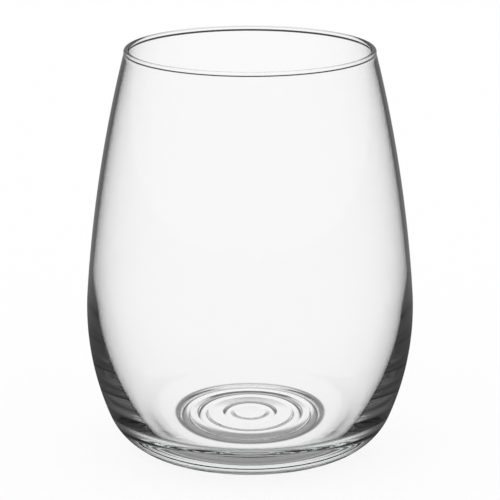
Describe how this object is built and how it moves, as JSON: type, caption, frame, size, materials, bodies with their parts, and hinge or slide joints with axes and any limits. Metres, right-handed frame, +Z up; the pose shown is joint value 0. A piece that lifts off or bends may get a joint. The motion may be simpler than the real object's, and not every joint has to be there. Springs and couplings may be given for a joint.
{
  "type": "stemless wine glass",
  "caption": "Clear stemless wine glass: a round belly drawn in to a beaded mouth, over a thick heel with a flat bearing ring and a shallow ringed hollow.",
  "frame": {"origin": "on the glass's axis, at the level of the table it stands on", "axes": "+Z up along the axis; X and Y are free, because the glass is turned"},
  "size_m": [0.091, 0.091, 0.1143],
  "materials": {
    "clear_glass": "clear, smooth, fire-polished"
  },
  "bodies": {
    "root": {"base": "clear_glass", "belly": "clear_glass", "side_wall": "clear_glass", "rim": "clear_glass"}
  },
  "joints": []
}
